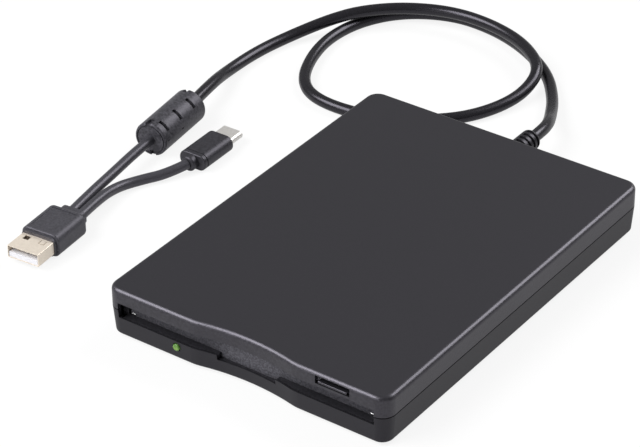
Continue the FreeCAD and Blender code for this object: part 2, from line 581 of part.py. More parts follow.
def head_arm():
    block_y = HEAD_Y + ARM_LENGTH
    pivot_y = block_y + 2.4
    blade = box(-5.0, HEAD_Y - 3.5, ARM_PIVOT_Z - 0.5, 5.0, pivot_y + 0.8, ARM_PIVOT_Z + 0.1)
    blade = blade.cut(box(-2, HEAD_Y + 7, ARM_PIVOT_Z - 2, 2, HEAD_Y + 17, ARM_PIVOT_Z + 2))
    pin = rod(0.5, 14.0, (-7.0, pivot_y, ARM_PIVOT_Z - 0.2), (1, 0, 0))
    barrel = rod(0.75, 11.2, (-5.6, pivot_y, ARM_PIVOT_Z - 0.2), (1, 0, 0))
    stem = box(-2.6, HEAD_Y - 2.4, ARM_PIVOT_Z - 1.0, 2.6, HEAD_Y + 2.4, ARM_PIVOT_Z - 0.4)
    return joined([blade, pin, barrel, stem])


def upper_head():
    z = ARM_PIVOT_Z - 1.0
    return box(-1.6, HEAD_Y - 1.5, z - 0.5, 1.6, HEAD_Y + 1.5, z)


def guide_rod():
    return rod(ROD_RADIUS, 29.0, (ROD_X, 30.6, ROD_Z), (0, 1, 0))


def rod_clamps():
    solids = []
    for y in (30.6, 58.0):
        clamp = box(ROD_X - 3.4, y, TRAY_FLOOR_Z, ROD_X + 3.4, y + 1.6, ROD_Z + 2.0)
        solids.append(clamp.cut(rod(ROD_RADIUS, 4, (ROD_X, y - 1, ROD_Z), (0, 1, 0))))
    return solids


def lead_screw():
    start = 30.4
    core = rod(SCREW_RADIUS, STEPPER_FRONT_Y + 0.6 - start, (SCREW_X, start, SCREW_Z), (0, 1, 0))
    collar = rod(1.6, 0.8, (SCREW_X, 32.3, SCREW_Z), (0, 1, 0))
    return joined([core, collar])


def screw_bearing():
    block = box(SCREW_X - 2.6, 30.4, TRAY_FLOOR_Z, SCREW_X + 2.6, 32.0, SCREW_Z + 2.0)
    return block.cut(rod(SCREW_RADIUS + PIVOT_CLEARANCE, 4, (SCREW_X, 29, SCREW_Z), (0, 1, 0)))


def motor_bracket():
    plate = box(SCREW_X - 6.5, STEPPER_FRONT_Y - 0.8, TRAY_FLOOR_Z, SCREW_X + 6.5, STEPPER_FRONT_Y, 12.6)
    return plate.cut(rod(1.5, 4, (SCREW_X, STEPPER_FRONT_Y - 2, SCREW_Z), (0, 1, 0)))


def stepper_motor():
    can = rod(STEPPER_RADIUS, STEPPER_BACK_Y - STEPPER_FRONT_Y, (SCREW_X, STEPPER_FRONT_Y, SCREW_Z), (0, 1, 0))
    can = can.makeFillet(0.5, [e for e in can.Edges if e.BoundBox.YMin > STEPPER_BACK_Y - 0.1])
    return can.cut(rod(SCREW_RADIUS + PIVOT_CLEARANCE, 1.6, (SCREW_X, STEPPER_FRONT_Y - 0.5, SCREW_Z), (0, 1, 0)))


def latch_lever():
    """Lever that the disk's shutter corner pushes; it frees the slide and swings with it."""
    arm = box(-32, 33.0, 9.6, -29.0, 48, 10.4)
    finger = box(-32, 33.0, 7.6, -30.6, 34.4, 10.0)
    boss = rod(2.4, 0.8, (-30.5, 46, 9.6), (0, 0, 1))
    lever = joined([arm, finger, boss])
    return lever.cut(rod(1.0 + PIVOT_CLEARANCE, 4, (-30.5, 46, 8), (0, 0, 1)))


def lever_post():
    post = rod(1.0, 7.6, (-30.5, 46, TRAY_FLOOR_Z), (0, 0, 1))
    shoulder = rod(2.0, 9.3 - TRAY_FLOOR_Z, (-30.5, 46, TRAY_FLOOR_Z), (0, 0, 1))
    return joined([post, shoulder])


def eject_springs():
    """Return springs of the slide, one behind each rail, hooked to the tray's walls."""
    x = TRAY_HALF_WIDTH - TRAY_SHEET - 1.1
    coil = tube(0.9, 0.55, 14.0, (x, 31.7, 12.2), (0, 1, 0))
    hook = rod(0.25, TRAY_HALF_WIDTH - TRAY_SHEET - x, (x, 45.5, 12.2), (1, 0, 0))
    hook = hook.cut(rod(0.55, 4, (x, 43.5, 12.2), (0, 1, 0)))
    return mirrored_pair(joined([coil, hook]))


def controller_board():
    board = box(-46, 36, 4.1, -17, 59.6, 4.9)
    board = board.cut(rod(2.3, 3, (-30.5, 46, 3.5), (0, 0, 1)))
    return board.cut(rod(2.2, 3, (-44.0, 52.0, 3.5), (0, 0, 1)))


def board_standoffs():
    spots = ((-43.5, 38.5), (-20, 38.5), (-20, 57.5), (-37, 57.5))
    return [rod(1.4, 4.1 - TRAY_FLOOR_Z, (x, y, TRAY_FLOOR_Z), (0, 0, 1)) for x, y in spots]


def board_chips():
    places = ((-38.5, 42.0, 8, 8, 1.2), (-24.0, 43.5, 6, 9, 1.2), (-24.5, 54.0, 5, 4, 0.9), (-37.0, 53.5, 5, 4, 1.0))
    return [box(x - a / 2, y - b / 2, 4.9, x + a / 2, y + b / 2, 4.9 + h) for x, y, a, b, h in places]


def usb_board():
    board = box(-16, 62.2, 3.6, 8.6, 68.6, 4.4)
    legs = [box(x, 62.2, FLOOR_TOP, x + 2, 68.6, 3.6) for x in (-15.5, 6)]
    return joined([board] + legs)


def lead_socket():
    return box(-5, 63.0, 4.4, 5, 68.0, 7.4)


def flat_cable():
    """Ribbon between the spindle's board and the controller board, under the disk."""
    run = box(-24, -20, TRAY_FLOOR_Z, -20.2, 34.8, TRAY_FLOOR_Z + 0.25)
    riser = box(-24, 34.8, TRAY_FLOOR_Z, -20.2, 35.05, 4.6)
    return joined([run, riser])


def disk_switches():
    solids = []
    for x, y in ((36, -48.5), (-36, 23.5)):
        solids.append(box(x - 2, y - 1.5, TRAY_FLOOR_Z, x + 2, y + 1.5, 5.2))
    return solids


def track_zero_sensor():
    base = box(-22, 60.8 - 12, 5.0, -16.5, 52, 6.4)
    return base.cut(box(-23, 50, 5.6, -15, 50.8, 7))


def strain_relief():
    """Boot with rings on three sides and a smooth spine, a waist that the covers grip and a collar inside."""
    boot = rod(RELIEF_RADIUS, RELIEF_LENGTH, (RELIEF_X, CASE_BACK_Y, RELIEF_Z), (0, 1, 0))
    tip_y = CASE_BACK_Y + RELIEF_LENGTH
    tip = [e for e in boot.Edges if e.BoundBox.YMin > tip_y - 0.1]
    boot = boot.makeFillet(RELIEF_TIP_FILLET, tip)
    waist = rod(RELIEF_HOLE_RADIUS, WALL, (RELIEF_X, CASE_BACK_Y - WALL, RELIEF_Z), (0, 1, 0))
    collar = rod(RELIEF_RADIUS, 0.9, (RELIEF_X, CASE_BACK_Y - WALL - 0.9, RELIEF_Z), (0, 1, 0))
    relief = joined([boot, waist, collar])
    reach = 2 * RELIEF_RADIUS
    corners = [(RELIEF_X, CASE_BACK_Y, RELIEF_Z)]
    for angle in RELIEF_SPINE:
        turn = math.radians(angle)
        corners.append((RELIEF_X - reach * math.sin(turn), CASE_BACK_Y, RELIEF_Z + reach * math.cos(turn)))
    spine = prism(corners, RELIEF_LENGTH, (0, 1, 0))
    for i in range(RELIEF_GROOVES):
        y = tip_y - RELIEF_TIP_FILLET - RELIEF_GROOVE_WIDTH - RELIEF_GROOVE_PITCH * i
        groove = tube(RELIEF_RADIUS + 1, RELIEF_RADIUS - RELIEF_GROOVE_DEPTH, RELIEF_GROOVE_WIDTH,
                      (RELIEF_X, y, RELIEF_Z), (0, 1, 0))
        relief = relief.cut(groove.cut(spine))
    return relief


def round_cord(name, route, diameter):
    """A tube along straight runs and tangent arcs."""
    points = [V(*p) for p in route]
    edges = []
    radii = []
    start = points[0]
    for a, b, c in zip(points, points[1:], points[2:]):
        first = b - a
        second = c - b
        shorter = min(first.Length, second.Length)
        first.normalize()
        second.normalize()
        half_turn = first.getAngle(second) / 2
        reach = ARC_SHARE * shorter
        radius = reach / math.tan(half_turn)
        radii.append(round(radius, 1))
        enter = b - first * reach
        leave = b + second * reach
        inward = second - first
        inward.normalize()
        middle = b + inward * (radius / math.cos(half_turn) - radius)
        edges.append(Part.LineSegment(start, enter).toShape())
        edges.append(Part.Arc(enter, middle, leave).toShape())
        start = leave
    edges.append(Part.LineSegment(start, points[-1]).toShape())
    path = Part.Wire(edges)
    direction = points[1] - points[0]
    section = Part.Wire([Part.makeCircle(diameter / 2, points[0], direction)])
    cord = path.makePipeShell([section], True, False)
    expected = math.pi * diameter ** 2 / 4 * path.Length
    print(name, "length %.1f mm, radii %s" % (path.Length, radii))
    print(name, "volume over section times length %.4f" % (cord.Volume / expected))
    return cord


def placed(solid, tail, heading):
    """Turns a piece made along +Y from the origin to its heading in plan, and moves it to its place."""
    solid = solid.copy()
    solid.rotate(V(0, 0, 0), V(0, 0, 1), heading)
    solid.translate(tail)
    return solid


def ferrite_heading():
    run = FERRITE_FAR_END - FERRITE_END
    return math.degrees(math.atan2(-run.x, run.y))


FERRITE_LENGTH = (FERRITE_FAR_END - FERRITE_END).Length


def around_ferrite(angle, depth, width, y0, y1):
    """A cutter let into the housing from outside, at an angle from straight up."""
    cutter = box(-width / 2, y0, FERRITE_RADIUS - depth, width / 2, y1, FERRITE_RADIUS + 2)
    cutter.rotate(V(0, 0, 0), V(0, 1, 0), angle)
    return cutter


def ferrite_half(left):
    """Half of the clip-on housing, open inside for the ferrite core and the lead."""
    length = FERRITE_LENGTH
    inner_radius = FERRITE_RADIUS - FERRITE_WALL
    slot_depth = FERRITE_WALL - 0.3
    shell = rod(FERRITE_RADIUS, length, (0, 0, 0), (0, 1, 0))
    rims = [e for e in shell.Edges if e.BoundBox.YLength < 0.01]
    shell = shell.makeFillet(0.7, rims)
    shell = shell.cut(rod(inner_radius, length - 2 * FERRITE_END_WALL, (0, FERRITE_END_WALL, 0), (0, 1, 0)))
    shell = shell.cut(rod(LEAD_DIAMETER / 2, length / 2, (0, -0.1, 0), (0, 1, 0)))
    shell = shell.cut(rod(CORD_DIAMETER / 2, length / 2, (0, length / 2 + 0.1, 0), (0, 1, 0)))
    slot_room = rod(FERRITE_RADIUS - slot_depth, length, (0, 0, 0), (0, 1, 0))
    for share in FERRITE_SLOT_SHARES:
        middle = length * share
        slot = around_ferrite(FERRITE_SLOT_ANGLE, 2.0, FERRITE_SLOT_WIDTH,
                              middle - FERRITE_SLOT_LENGTH / 2, middle + FERRITE_SLOT_LENGTH / 2)
        shell = shell.cut(slot.cut(slot_room))
    for share in FERRITE_TICK_SHARES:
        shell = shell.cut(around_ferrite(FERRITE_TICK_ANGLE, 0.4, 0.4, length * share, length * share + 1.0))
    near_notch = around_ferrite(FERRITE_SEAM_ANGLE, 0.95, 2.0, -1.0, 3.2)
    far_notch = around_ferrite(FERRITE_SEAM_ANGLE, 0.95, 1.5, length - 2.4, length + 1.0)
    bottom_notch = around_ferrite(180.0 + FERRITE_SEAM_ANGLE, 2.1, 2.2, -1.0, FERRITE_END_WALL - 0.1)
    end_groove = tube(5.3, inner_radius, 1.4, (0, -1.0, 0), (0, 1, 0))
    for cutter in (near_notch, far_notch, bottom_notch, end_groove):
        shell = shell.cut(cutter)
    reach = FERRITE_RADIUS + 2
    half = box(-reach, -1, -reach, 0, length + 1, reach) if left else box(0, -1, -reach, reach, length + 1, reach)
    half.rotate(V(0, 0, 0), V(0, 1, 0), FERRITE_SEAM_ANGLE)
    return placed(shell.common(half), FERRITE_END, ferrite_heading())


def ferrite_core():
    core = tube(FERRITE_RADIUS - FERRITE_WALL, CORD_DIAMETER / 2, FERRITE_LENGTH - 2 * FERRITE_END_WALL,
                (0, FERRITE_END_WALL, 0), (0, 1, 0))
    return placed(core, FERRITE_END, ferrite_heading())


# Large plug: lengths along its axis, from the tail where the leads enter to the tip
PLUG_A_COLLAR = 3.0
PLUG_A_BODY = 15.6
PLUG_A_NOSE = 1.0
PLUG_A_SHELL = 8.3
PLUG_A_WIDTH = 14.4
PLUG_A_HEIGHT = 8.2
USB_A_WIDTH = 12.0
USB_A_HEIGHT = 4.5
USB_A_SHEET = 0.3
USB_A_WINDOW = 2.2
USB_A_WINDOW_X = 3.0
USB_A_WINDOW_FROM_TIP = 6.5
SHELL_INSIDE_PLUG = 5.0
PLUG_A_HEADING = 180.0 + PLUG_A_TILT

# Small plug
PLUG_C_COLLAR = 2.6
PLUG_C_BODY = 16.0
PLUG_C_SHELL = 6.7
PLUG_C_WIDTH = 10.6
PLUG_C_HEIGHT = 5.8
USB_C_WIDTH = 8.34
USB_C_HEIGHT = 2.56
PLUG_C_HEADING = 1.0


def usb_a_overmould():
    collar = rounded_bar(9.6, 5.2, 2.0, PLUG_A_COLLAR + 1, (0, 0, 0))
    body = rounded_bar(PLUG_A_WIDTH, PLUG_A_HEIGHT, 2.6, PLUG_A_BODY, (0, PLUG_A_COLLAR, 0))
    back_rim = [e for e in body.Edges if e.BoundBox.YMax < PLUG_A_COLLAR + 0.01]
    body = body.makeFillet(1.2, back_rim)
    front_rim = [e for e in body.Edges if e.BoundBox.YMin > PLUG_A_COLLAR + PLUG_A_BODY - 0.01]
    body = body.makeFillet(0.6, front_rim)
    nose = rounded_bar(PLUG_A_WIDTH - 1.6, PLUG_A_HEIGHT - 1.4, 2.0, PLUG_A_NOSE + 1,
                       (0, PLUG_A_COLLAR + PLUG_A_BODY - 1, 0))
    panel_margin = 1.8
    panel = rounded_bar(9.4, 0.5, 0.2, PLUG_A_BODY - 2 * panel_margin,
                        (0, PLUG_A_COLLAR + panel_margin, PLUG_A_HEIGHT / 2))
    plug = joined([collar, body, nose]).cut(panel)
    mouth = rounded_bar(USB_A_WIDTH, USB_A_HEIGHT, 0.3, SHELL_INSIDE_PLUG + 1, (0, usb_a_shell_start(), 0))
    return placed(plug.cut(mouth), PLUG_A_TAIL, PLUG_A_HEADING)


def usb_a_shell_start():
    return PLUG_A_COLLAR + PLUG_A_BODY + PLUG_A_NOSE - SHELL_INSIDE_PLUG


def usb_a_shell():
    """Folded steel shell with two windows, one of them filled by a spring leaf."""
    length = PLUG_A_SHELL + SHELL_INSIDE_PLUG
    start = usb_a_shell_start()
    shell = rounded_bar(USB_A_WIDTH, USB_A_HEIGHT, 0.3, length, (0, start, 0))
    hollow = rounded_bar(USB_A_WIDTH - 2 * USB_A_SHEET, USB_A_HEIGHT - 2 * USB_A_SHEET, 0.15, length,
                         (0, start + 0.6, 0))
    middle = start + length - USB_A_WINDOW_FROM_TIP
    half = USB_A_WINDOW / 2
    gap = 0.25
    leaf = box(-USB_A_WINDOW_X - half + gap, middle - half - 0.1, -USB_A_HEIGHT / 2,
               -USB_A_WINDOW_X + half - gap, middle + half - gap, USB_A_HEIGHT / 2).cut(hollow)
    shell = shell.cut(hollow)
    for x in (-USB_A_WINDOW_X, USB_A_WINDOW_X):
        shell = shell.cut(box(x - half, middle - half, -4, x + half, middle + half, 4))
    return placed(joined([shell, leaf]), PLUG_A_TAIL, PLUG_A_HEADING)


def usb_a_tongue():
    start = PLUG_A_COLLAR + PLUG_A_BODY + PLUG_A_NOSE - 4.4
    inner_width = USB_A_WIDTH - 2 * USB_A_SHEET
    low = -USB_A_HEIGHT / 2 + USB_A_SHEET
    tongue = box(-inner_width / 2 + 0.2, start, low, inner_width / 2 - 0.2, start + PLUG_A_SHELL + 4.25, low + 1.9)
    for x in (-3.5, -1.0, 1.0, 3.5):
        tongue = tongue.cut(box(x - 0.55, start + 4, low + 1.7, x + 0.55, start + PLUG_A_SHELL + 2.2, low + 2))
    return placed(tongue, PLUG_A_TAIL, PLUG_A_HEADING)


def usb_a_contacts():
    start = PLUG_A_COLLAR + PLUG_A_BODY + PLUG_A_NOSE - 4.4
    low = -USB_A_HEIGHT / 2 + USB_A_SHEET
    solids = []
    for x, shorter in ((-3.5, 0.0), (-1.0, 1.0), (1.0, 1.0), (3.5, 0.0)):
        strip = box(x - 0.55, start + 4, low + 1.7, x + 0.55, start + PLUG_A_SHELL + 2.0 - shorter, low + 1.95)
        solids.append(placed(strip, PLUG_A_TAIL, PLUG_A_HEADING))
    return solids


def usb_c_overmould():
    collar = rod(2.7, PLUG_C_COLLAR + 1, (0, 0, 0), (0, 1, 0))
    collar = collar.makeFillet(0.8, [e for e in collar.Edges if e.BoundBox.YMax < 0.01])
    body = rounded_bar(PLUG_C_WIDTH, PLUG_C_HEIGHT, 2.7, PLUG_C_BODY, (0, PLUG_C_COLLAR, 0))
    rims = [e for e in body.Edges if e.BoundBox.YLength < 0.01]
    body = body.makeFillet(0.5, rims)
    groove = rounded_bar(PLUG_C_WIDTH + 2, PLUG_C_HEIGHT + 2, 2.7, 0.4, (0, PLUG_C_COLLAR + 1.6, 0)).cut(
        rounded_bar(PLUG_C_WIDTH - 0.5, PLUG_C_HEIGHT - 0.5, 2.4, 2.4, (0, PLUG_C_COLLAR + 0.6, 0)))
    plug = joined([collar, body]).cut(groove)
    start = PLUG_C_COLLAR + PLUG_C_BODY - SHELL_INSIDE_PLUG
    mouth = rounded_bar(USB_C_WIDTH, USB_C_HEIGHT, 1.25, SHELL_INSIDE_PLUG + 1, (0, start, 0))
    return placed(plug.cut(mouth), PLUG_C_TAIL, PLUG_C_HEADING)


def usb_c_shell():
    start = PLUG_C_COLLAR + PLUG_C_BODY - SHELL_INSIDE_PLUG
    length = PLUG_C_SHELL + SHELL_INSIDE_PLUG
    shell = rounded_bar(USB_C_WIDTH, USB_C_HEIGHT, 1.25, length, (0, start, 0))
    hollow = rounded_bar(USB_C_WIDTH - 0.7, USB_C_HEIGHT - 0.7, 0.9, length, (0, start + 0.6, 0))
    return placed(shell.cut(hollow), PLUG_C_TAIL, PLUG_C_HEADING)


def usb_c_insert():
    """Plastic lining of the small plug's mouth, open at its tip."""
    start = PLUG_C_COLLAR + PLUG_C_BODY - 4.4
    lining = rounded_bar(USB_C_WIDTH - 0.7, USB_C_HEIGHT - 0.7, 0.9, PLUG_C_SHELL + 4.0, (0, start, 0))
    mouth = rounded_bar(6.7, 0.8, 0.3, 6.0, (0, start + PLUG_C_SHELL - 1.0, 0))
    return placed(lining.cut(mouth), PLUG_C_TAIL, PLUG_C_HEADING)


NODES = {
    "top_cover": top_cover,
    "bottom_cover": bottom_cover,
    "case_screws": case_screws,
    "rubber_feet": rubber_feet,
    "slot_guide": slot_guide,
    "dust_door": dust_door,
    "door_rivets": door_rivets,
    "door_spring": door_spring,
    "eject_button": eject_button,
    "eject_slide": eject_slide,
    "eject_springs": eject_springs,
    "led_lens": led_lens,
    "led": led,
    "mechanism_tray": mechanism_tray,
    "tray_screws": tray_screws,
    "mechanism_lid": mechanism_lid,
    "disk_cradle": disk_cradle,
    "spindle_board": spindle_board,
    "spindle_coils": spindle_coils,
    "spindle_bearing": spindle_bearing,
    "spindle_rotor": spindle_rotor,
    "hub_magnet": hub_magnet,
    "drive_pin": drive_pin,
    "head_carriage": head_carriage,
    "lower_head": lower_head,
    "head_arm": head_arm,
    "upper_head": upper_head,
    "guide_rod": guide_rod,
    "rod_clamps": rod_clamps,
    "lead_screw": lead_screw,
    "screw_bearing": screw_bearing,
    "motor_bracket": motor_bracket,
    "stepper_motor": stepper_motor,
    "latch_lever": latch_lever,
    "lever_post": lever_post,
    "controller_board": controller_board,
    "board_standoffs": board_standoffs,
    "board_chips": board_chips,
    "usb_board": usb_board,
    "lead_socket": lead_socket,
    "flat_cable": flat_cable,
    "disk_switches": disk_switches,
    "track_zero_sensor": track_zero_sensor,
    "strain_relief": strain_relief,
    "cord_main": lambda: round_cord("cord_main", MAIN_ROUTE, CORD_DIAMETER),
    "cord_plug_lead": lambda: round_cord("cord_plug_lead", PLUG_ROUTE, LEAD_DIAMETER),
    "cord_branch": lambda: round_cord("cord_branch", BRANCH_ROUTE, LEAD_DIAMETER),
    "ferrite_left_half": lambda: ferrite_half(True),
    "ferrite_right_half": lambda: ferrite_half(False),
    "ferrite_core": ferrite_core,
    "usb_a_overmould": usb_a_overmould,
    "usb_a_shell": usb_a_shell,
    "usb_a_tongue": usb_a_tongue,
    "usb_a_contacts": usb_a_contacts,
    "usb_c_overmould": usb_c_overmould,
    "usb_c_shell": usb_c_shell,
    "usb_c_insert": usb_c_insert,
}


def main():
    os.makedirs("parts", exist_ok=True)
    for name, make in NODES.items():
        made = make()
        shape = Part.makeCompound(made) if isinstance(made, list) else made
        solids = shape.Solids
        if not solids or not all(s.isValid() and s.isClosed() for s in solids):
            print("bad solid in", name)
        if not isinstance(made, list):
            if len(solids) != 1:
                print(name, "has", len(solids), "solids")
            shape = solids[0] if len(solids) == 1 else shape
        shape.exportStep("parts/%s.step" % name)


main()
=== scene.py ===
import bpy
import math
from mathutils import Matrix, Vector

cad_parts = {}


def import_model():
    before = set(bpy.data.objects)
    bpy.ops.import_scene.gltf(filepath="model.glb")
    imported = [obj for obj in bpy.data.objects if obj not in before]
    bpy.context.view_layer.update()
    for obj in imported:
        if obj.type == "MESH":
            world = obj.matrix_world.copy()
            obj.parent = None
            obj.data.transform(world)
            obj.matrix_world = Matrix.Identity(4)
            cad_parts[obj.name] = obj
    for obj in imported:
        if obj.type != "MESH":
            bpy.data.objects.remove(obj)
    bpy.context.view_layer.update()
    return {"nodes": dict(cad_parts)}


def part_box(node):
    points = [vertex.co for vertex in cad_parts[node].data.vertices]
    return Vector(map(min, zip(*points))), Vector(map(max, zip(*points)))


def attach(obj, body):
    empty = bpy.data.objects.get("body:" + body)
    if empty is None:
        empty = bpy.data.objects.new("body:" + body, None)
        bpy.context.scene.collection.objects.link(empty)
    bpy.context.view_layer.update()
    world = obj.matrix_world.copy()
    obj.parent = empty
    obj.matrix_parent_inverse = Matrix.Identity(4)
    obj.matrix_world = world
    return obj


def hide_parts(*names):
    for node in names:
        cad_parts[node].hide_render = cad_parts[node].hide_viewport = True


# External floppy disk drive with a tethered lead: its looks, its leads and its wound wire

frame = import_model()
NODES = frame["nodes"]

MM = 0.001

# Camera at the photograph's viewing angle, with its lens in pixels of a picture 640 wide
CAMERA_PLACE = Vector((0.42122, -0.60821, 0.50297))
CAMERA_AZIMUTH = math.radians(36.138)
CAMERA_ELEVATION = math.radians(33.081)
CAMERA_ROLL = math.radians(-0.709)
FOCAL_PIXELS = 2861.2
IMAGE_WIDTH = 640
SENSOR_WIDTH = 36.0
NEAREST_SEEN = 0.05
FARTHEST_SEEN = 200.0

# Plain, soft studio light: each lamp's name, place, size and power, all aimed at the origin
LAMPS = (
    ("left_front", (-0.72, -0.75, 1.0), (1.2, 0.8), 24.0),
    ("back_high", (0.4, 1.0, 0.9), (0.9, 0.7), 12.0),
    ("front_low", (-0.1, -1.2, 0.28), (1.2, 0.3), 1.5),
)
WORLD_STRENGTH = 0.27

# White table: how far it reaches each way, the share of its white that is a glow,
# and the strength of that glow where the object mirrors it
FLOOR_REACH = 30.0
FLOOR_PAINT = (0.9, 0.9, 0.9)
FLOOR_GLOW = 0.85
FLOOR_IN_MIRRORS = 0.62

# Routes of the three leads, in metres, through the same points as the solids' tubes
MAIN_ROUTE = [
    (0.001, 0.0866, 0.0084), (0.001, 0.093, 0.0083), (-0.0008, 0.1, 0.007),
    (-0.005, 0.1085, 0.0043), (-0.012, 0.1215, 0.0022), (-0.0225, 0.135, 0.0021),
    (-0.038, 0.1455, 0.0021), (-0.055, 0.1515, 0.0021), (-0.073, 0.152, 0.0021),
    (-0.089, 0.1435, 0.0021), (-0.098, 0.1295, 0.0021), (-0.1005, 0.1135, 0.0021),
    (-0.0975, 0.098, 0.0021), (-0.0905, 0.083, 0.0021), (-0.08, 0.0755, 0.0021),
    (-0.063, 0.075, 0.0021), (-0.046, 0.081, 0.0021), (-0.032, 0.092, 0.0021),
    (-0.0245, 0.1055, 0.0023), (-0.0215, 0.119, 0.0034), (-0.0233, 0.1312, 0.0065),
    (-0.037, 0.142, 0.0066), (-0.053, 0.147, 0.0066), (-0.07, 0.1472, 0.0066),
    (-0.086, 0.1402, 0.0066), (-0.097, 0.1284, 0.0071), (-0.1038, 0.119, 0.0058),
    (-0.1114, 0.1078, 0.0027), (-0.1155, 0.091, 0.0021), (-0.1155, 0.073, 0.0024),
    (-0.1108, 0.0575, 0.0061), (-0.10785, 0.0422, 0.0061)]
PLUG_ROUTE = [
    (-0.1049, 0.0174, 0.0061), (-0.1047, 0.0085, 0.0055), (-0.1039, -0.004, 0.0042),
    (-0.1021, -0.018, 0.0041), (-0.0998, -0.0309, 0.00412)]
BRANCH_ROUTE = [
    (-0.0961, -0.0306, 0.00412), (-0.0979, -0.02, 0.004), (-0.0993, -0.0085, 0.0026),
    (-0.0961, 0.0012, 0.00175), (-0.091, 0.008, 0.0023), (-0.0886, 0.0158, 0.003)]
CORD_DIAMETER = 0.0042
LEAD_DIAMETER = 0.0035

# How finely a lead and a wire are divided, along them and round them
CORD_STEPS = 16
CORD_ROUNDNESS = 8
WIRE_ROUNDNESS = 2
STEPS_PER_TURN = 16

# Dust door's closing spring and the two return springs of the eject slide, in millimetres
SPRING_WIRE_RADIUS = 0.17
DOOR_COIL_START = (-40.83, -66.5, 13.2)
DOOR_COIL_LENGTH = 2.66
DOOR_COIL_RADIUS = 0.975
DOOR_COIL_TURNS = 7
DOOR_LEG_HEIGHT = 2.2
EJECT_COIL_X = 46.9
EJECT_COIL_Y = 31.9
EJECT_COIL_Z = 12.2
EJECT_COIL_LENGTH = 13.4
EJECT_COIL_RADIUS = 0.72
EJECT_COIL_TURNS = 30
EJECT_HOOK_X = 47.9
EJECT_HOOK_Y = 45.5

# Spindle motor's windings, in millimetres, each square with rounded corners and two layers deep
SPINDLE_Y = -17.0
WINDING_COUNT = 9
WINDING_TURNS = 6
WINDING_WIRE_RADIUS = 0.1
WINDING_DISTANCE = 8.9
WINDING_INNER_ACROSS = 0.91
WINDING_INNER_OUTWARD = 1.41

# Plastic: violet in dark greys and in highlights, as the photograph shows
GREEN_LOSS = 0.02
BLUE_GAIN = 0.14
HIGHLIGHT_TINT = (0.90, 0.86, 1.0, 1)

# Fine patterns: the middle of their values, and the swing from it that takes a colour from its
# dark end to its light end
PATTERN_MIDDLE = 0.5
BROAD_SWING = 0.2
NARROW_SWING = 0.15
LACQUER_SWING = 0.1

# How far a face's normal points up where the face still counts as a wall, and where as a top,
# and the share of a wall's pattern that is left on a top
WALL_TILT = 0.5
TOP_TILT = 0.95
PATTERN_ON_TOPS = 0.12

# Roughness that a pattern takes away and adds, in plastic and in metal
PLASTIC_UNEVENNESS = 0.04
METAL_SMOOTHER = 0.02
METAL_ROUGHER = 0.03

# Metal, the lacquer of the circuit boards and the green light's lens
METAL_GRAIN = 1500.0
METAL_DARK_SHARE = 0.93
LACQUER_GRAIN = 700.0
LACQUER_DARK_SHARE = 0.85
LACQUER_ROUGHNESS = 0.35
LENS_GRAIN = 900.0
LENS_ROUGHNESS = 0.2
LENS_COAT = 0.6
LENS_COLOUR = (0.11, 0.25, 0.03)
LENS_DARK = (0.06, 0.18, 0.02)
LENS_LIGHT = (0.16, 0.32, 0.04)


